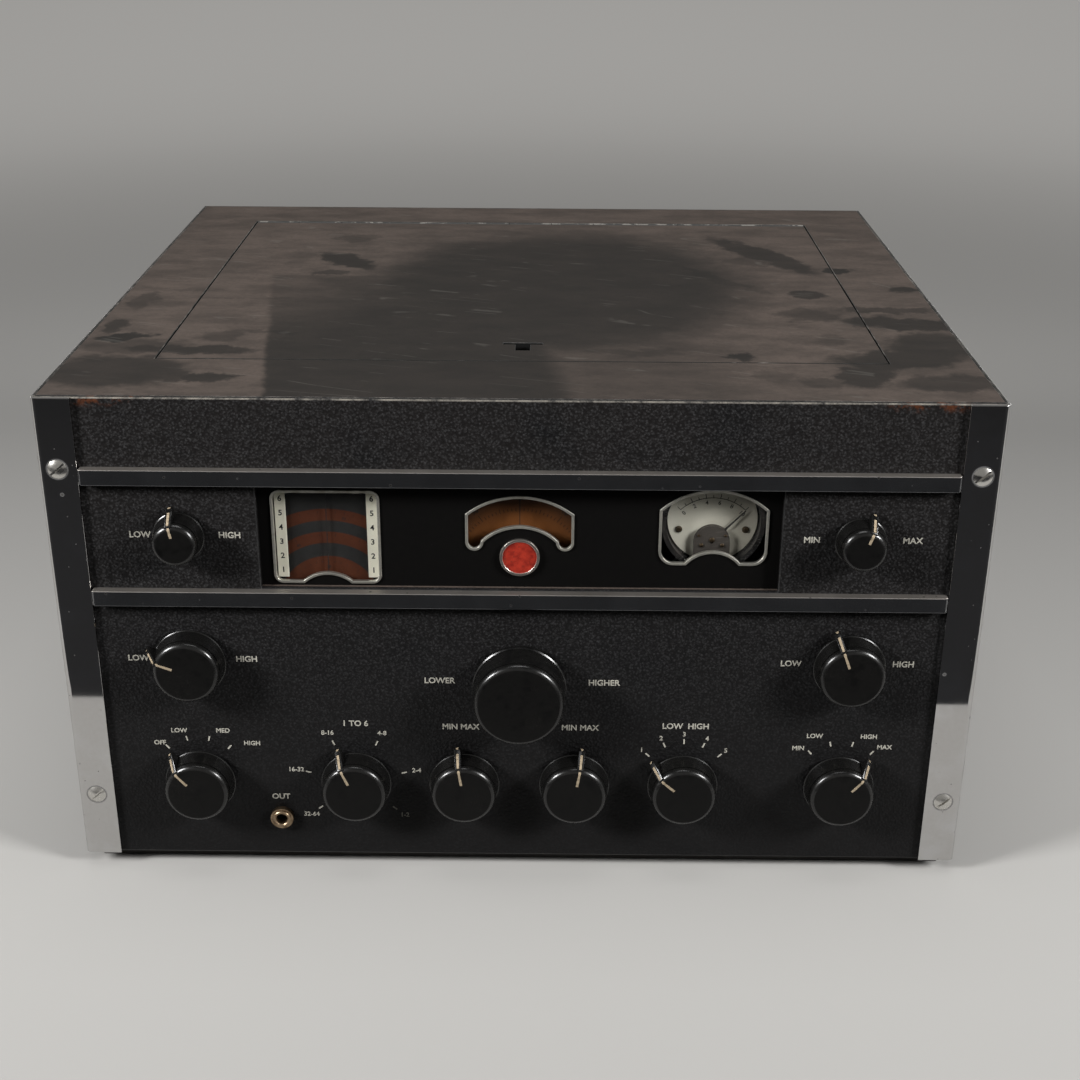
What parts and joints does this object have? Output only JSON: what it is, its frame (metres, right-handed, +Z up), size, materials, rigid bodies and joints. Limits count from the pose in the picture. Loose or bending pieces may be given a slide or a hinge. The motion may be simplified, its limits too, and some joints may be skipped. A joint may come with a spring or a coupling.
{
  "type": "communications receiver",
  "caption": "Table-top communications receiver: black steel cabinet with hinged lid, chrome-trimmed front panel, dial windows, meter and pointer knobs on a geared tuning drive.",
  "frame": {"origin": "on the ground under the middle of the whole object, knobs included", "axes": "+X to the right seen from the front, -Y out of the front panel, +Z up"},
  "size_m": [0.489, 0.4658, 0.2791],
  "materials": {
    "cabinet_paint": "semi-matte black paint, dusty",
    "rail_black": "matte black",
    "hinge_steel": "blackened steel, worn",
    "panel_paint": "black crackle",
    "chrome": "mirror",
    "screw_nickel": "polished",
    "dark_chrome": "worn polish",
    "dial_panel_black": "satin black",
    "rim_silver": "satin",
    "window_glass": "clear",
    "badge_enamel": "gloss enamel",
    "index_white": "matte",
    "lamp_glass": "clear",
    "meter_black": "gloss",
    "meter_card": "matte cream",
    "movement_grey": "matte",
    "needle_black": "matte",
    "dial_card": "printed",
    "gang_metal": "satin",
    "gear_brass": "machined",
    "bakelite": "polished",
    "shaft_steel": "turned",
    "plate_steel": "plated",
    "control_steel": "plated",
    "jack_nickel": "worn nickel",
    "chassis_steel": "plated",
    "can_aluminium": "satin",
    "transformer_black": "black lacquer",
    "filter_grey": "grey enamel",
    "valve_black": "black lacquer",
    "terminal_brown": "moulded"
  },
  "bodies": {
    "cabinet": {"cabinet_bottom": "cabinet_paint", "cabinet_sides": "cabinet_paint", "cabinet_top": "cabinet_paint", "cabinet_back": "cabinet_paint", "base_rails": "rail_black", "lid_hinge_leaf": "hinge_steel", "front_panel": "panel_paint", "trim_strips": "chrome", "trim_screws": "screw_nickel", "trim_bars": "dark_chrome", "dial_panel": "dial_panel_black", "window_rims": "rim_silver", "window_panes": "window_glass", "badge": "badge_enamel", "index_strips": "index_white", "dial_lamps": "lamp_glass", "meter_case": "meter_black", "meter_scale": "meter_card", "meter_movement": "movement_grey", "drive_plates": "plate_steel", "gang_frame": "gang_metal", "control_bodies": "control_steel", "phones_jack": "jack_nickel", "chassis": "chassis_steel", "coil_box": "can_aluminium", "power_transformer": "transformer_black", "filter_unit": "filter_grey", "if_cans": "can_aluminium", "valves": "valve_black", "rear_terminals": "terminal_brown"},
    "lid": {"lid_panel": "cabinet_paint", "lid_moving_leaf": "hinge_steel"},
    "meter_needle": {"meter_needle": "needle_black"},
    "dial_drive": {"main_dial": "dial_card", "gang_rotor": "gang_metal"},
    "idler": {"idler_gear": "gear_brass"},
    "vernier": {"vernier_dial": "dial_card", "vernier_gear": "gear_brass"},
    "tuning": {"tuning_knob": "bakelite", "tuning_shaft": "shaft_steel"},
    "tone_control": {"tone_knob": "bakelite", "tone_shaft": "shaft_steel"},
    "noise_control": {"noise_knob": "bakelite", "noise_shaft": "shaft_steel"},
    "antenna_control": {"antenna_knob": "bakelite", "antenna_shaft": "shaft_steel"},
    "beat_control": {"beat_knob": "bakelite", "beat_shaft": "shaft_steel"},
    "function_control": {"function_knob": "bakelite", "function_shaft": "shaft_steel"},
    "range_control": {"range_knob": "bakelite", "range_shaft": "shaft_steel"},
    "rf_gain_control": {"rf_gain_knob": "bakelite", "rf_gain_shaft": "shaft_steel"},
    "af_gain_control": {"af_gain_knob": "bakelite", "af_gain_shaft": "shaft_steel"},
    "selectivity_control": {"selectivity_knob": "bakelite", "selectivity_shaft": "shaft_steel"},
    "avc_control": {"avc_knob": "bakelite", "avc_shaft": "shaft_steel"}
  },
  "joints": [
    {"name": "lid_swing", "type": "hinge", "parent": "cabinet", "child": "lid", "pos_m": [0, 0.1813, 0.2769], "axis": [-1, 0, 0], "range_deg": [0, 100]},
    {"name": "needle_swing", "type": "hinge", "parent": "cabinet", "child": "meter_needle", "pos_m": [0.1007, -0.1979, 0.1972], "axis": [0, -1, 0], "range_deg": [0, 88]},
    {"name": "dial_turn", "type": "hinge", "parent": "cabinet", "child": "dial_drive", "pos_m": [-0.1007, -0.2007, 0.1617], "axis": [0, 1, 0], "range_deg": [-90, 90]},
    {"name": "idler_turn", "type": "hinge", "parent": "cabinet", "child": "idler", "pos_m": [-0.027, -0.1851, 0.17561], "axis": [0, 1, 0], "range_deg": [-342.86, 342.86]},
    {"name": "vernier_turn", "type": "hinge", "parent": "cabinet", "child": "vernier", "pos_m": [0, -0.1975, 0.1807], "axis": [0, 1, 0], "range_deg": [-450, 450]},
    {"name": "tuning_turn", "type": "hinge", "parent": "cabinet", "child": "tuning", "pos_m": [0, -0.2329, 0.1167], "axis": [0, 1, 0], "range_deg": [-1650, 1650]},
    {"name": "tone_turn", "type": "hinge", "parent": "cabinet", "child": "tone_control", "pos_m": [-0.176, -0.2115, 0.204], "axis": [0, 1, 0], "range_deg": [-142, 158]},
    {"name": "noise_turn", "type": "hinge", "parent": "cabinet", "child": "noise_control", "pos_m": [0.176, -0.2115, 0.204], "axis": [0, 1, 0], "range_deg": [-167, 133]},
    {"name": "antenna_turn", "type": "hinge", "parent": "cabinet", "child": "antenna_control", "pos_m": [-0.176, -0.2115, 0.1305], "axis": [0, 1, 0], "range_deg": [-22, 158]},
    {"name": "beat_turn", "type": "hinge", "parent": "cabinet", "child": "beat_control", "pos_m": [0.176, -0.2115, 0.1305], "axis": [0, 1, 0], "range_deg": [-67, 113]},
    {"name": "function_turn", "type": "hinge", "parent": "cabinet", "child": "function_control", "pos_m": [-0.176, -0.2115, 0.0562], "axis": [0, 1, 0], "range_deg": [0, 78]},
    {"name": "range_turn", "type": "hinge", "parent": "cabinet", "child": "range_control", "pos_m": [-0.09, -0.2115, 0.0562], "axis": [0, 1, 0], "range_deg": [-104, 156]},
    {"name": "rf_gain_turn", "type": "hinge", "parent": "cabinet", "child": "rf_gain_control", "pos_m": [-0.0303, -0.2115, 0.0562], "axis": [0, 1, 0], "range_deg": [-139, 161]},
    {"name": "af_gain_turn", "type": "hinge", "parent": "cabinet", "child": "af_gain_control", "pos_m": [0.0303, -0.2115, 0.0562], "axis": [0, 1, 0], "range_deg": [-162, 138]},
    {"name": "selectivity_turn", "type": "hinge", "parent": "cabinet", "child": "selectivity_control", "pos_m": [0.09, -0.2115, 0.0562], "axis": [0, 1, 0], "range_deg": [0, 94]},
    {"name": "avc_turn", "type": "hinge", "parent": "cabinet", "child": "avc_control", "pos_m": [0.176, -0.2115, 0.0562], "axis": [0, 1, 0], "range_deg": [-78, 0]}
  ],
  "couplings": [
    {"joint": "idler_turn", "follows": "dial_turn", "ratio": -3.8095},
    {"joint": "vernier_turn", "follows": "dial_turn", "ratio": 5},
    {"joint": "tuning_turn", "follows": "dial_turn", "ratio": -18.333}
  ]
}
